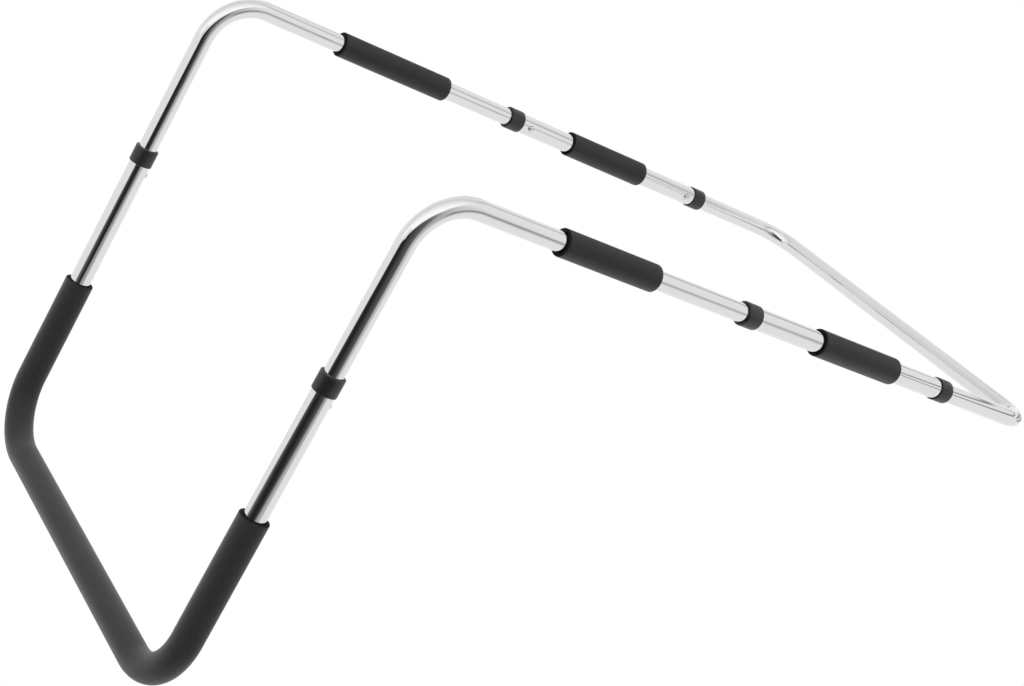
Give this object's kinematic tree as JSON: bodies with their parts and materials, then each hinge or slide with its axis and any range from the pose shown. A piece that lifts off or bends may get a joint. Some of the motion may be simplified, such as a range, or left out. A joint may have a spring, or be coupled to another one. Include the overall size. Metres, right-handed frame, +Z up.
{
  "type": "bed rail",
  "caption": "Bed rail of plug-together tubes: a foam-padded bent handle that slides up and down on uprights, on a base frame with foam sleeves that lies under a mattress.",
  "frame": {"origin": "on the surface that the base's foam sleeves rest on, in the middle of the rail's width and length", "axes": "+Z up along the uprights, +Y from the handle to the rear bar under the mattress, +X across the rail from its left side to its right side as seen from in front of the handle"},
  "size_m": [0.5906, 1.0192, 0.639],
  "materials": {
    "chrome": "polished",
    "foam": "matte",
    "collar": "satin",
    "button": "satin",
    "spring": "satin"
  },
  "bodies": {
    "elbow_section": {"left_elbow_tube": "chrome", "right_elbow_tube": "chrome", "left_front_sleeve": "foam", "right_front_sleeve": "foam", "left_upright_clip_spring": "spring", "right_upright_clip_spring": "spring", "left_front_clip_spring": "spring", "right_front_clip_spring": "spring"},
    "handle_section": {"handle_tube": "chrome", "handle_grip": "foam", "left_handle_collar": "collar", "right_handle_collar": "collar"},
    "middle_section": {"left_middle_tube": "chrome", "right_middle_tube": "chrome", "left_middle_sleeve": "foam", "right_middle_sleeve": "foam", "left_front_collar": "collar", "right_front_collar": "collar", "left_rear_collar": "collar", "right_rear_collar": "collar"},
    "rear_section": {"rear_tube": "chrome", "left_rear_clip_spring": "spring", "right_rear_clip_spring": "spring"},
    "left_upright_button": {"left_upright_button": "button"},
    "right_upright_button": {"right_upright_button": "button"},
    "left_front_button": {"left_front_button": "button"},
    "right_front_button": {"right_front_button": "button"},
    "left_rear_button": {"left_rear_button": "button"},
    "right_rear_button": {"right_rear_button": "button"}
  },
  "joints": [
    {"name": "handle_height", "type": "slide", "parent": "elbow_section", "child": "handle_section", "axis": [0, 0, 1], "range_m": [-0.12, 0]},
    {"name": "middle_pull_out", "type": "slide", "parent": "elbow_section", "child": "middle_section", "axis": [0, 1, 0], "range_m": [0, 0.26]},
    {"name": "rear_pull_out", "type": "slide", "parent": "middle_section", "child": "rear_section", "axis": [0, 1, 0], "range_m": [0, 0.26]},
    {"name": "left_upright_button_press", "type": "slide", "parent": "elbow_section", "child": "left_upright_button", "axis": [0, -1, 0], "range_m": [0, 0.0044], "stiffness_N_per_m": 1500, "springref_m": -0.003, "deforming": ["left_upright_clip_spring"]},
    {"name": "right_upright_button_press", "type": "slide", "parent": "elbow_section", "child": "right_upright_button", "axis": [0, -1, 0], "range_m": [0, 0.0044], "stiffness_N_per_m": 1500, "springref_m": -0.003, "deforming": ["right_upright_clip_spring"]},
    {"name": "left_front_button_press", "type": "slide", "parent": "elbow_section", "child": "left_front_button", "axis": [-1, 0, 0], "range_m": [0, 0.0044], "stiffness_N_per_m": 1500, "springref_m": -0.003, "deforming": ["left_front_clip_spring"]},
    {"name": "right_front_button_press", "type": "slide", "parent": "elbow_section", "child": "right_front_button", "axis": [1, 0, 0], "range_m": [0, 0.0044], "stiffness_N_per_m": 1500, "springref_m": -0.003, "deforming": ["right_front_clip_spring"]},
    {"name": "left_rear_button_press", "type": "slide", "parent": "rear_section", "child": "left_rear_button", "axis": [-1, 0, 0], "range_m": [0, 0.0044], "stiffness_N_per_m": 1500, "springref_m": -0.003, "deforming": ["left_rear_clip_spring"]},
    {"name": "right_rear_button_press", "type": "slide", "parent": "rear_section", "child": "right_rear_button", "axis": [1, 0, 0], "range_m": [0, 0.0044], "stiffness_N_per_m": 1500, "springref_m": -0.003, "deforming": ["right_rear_clip_spring"]}
  ]
}
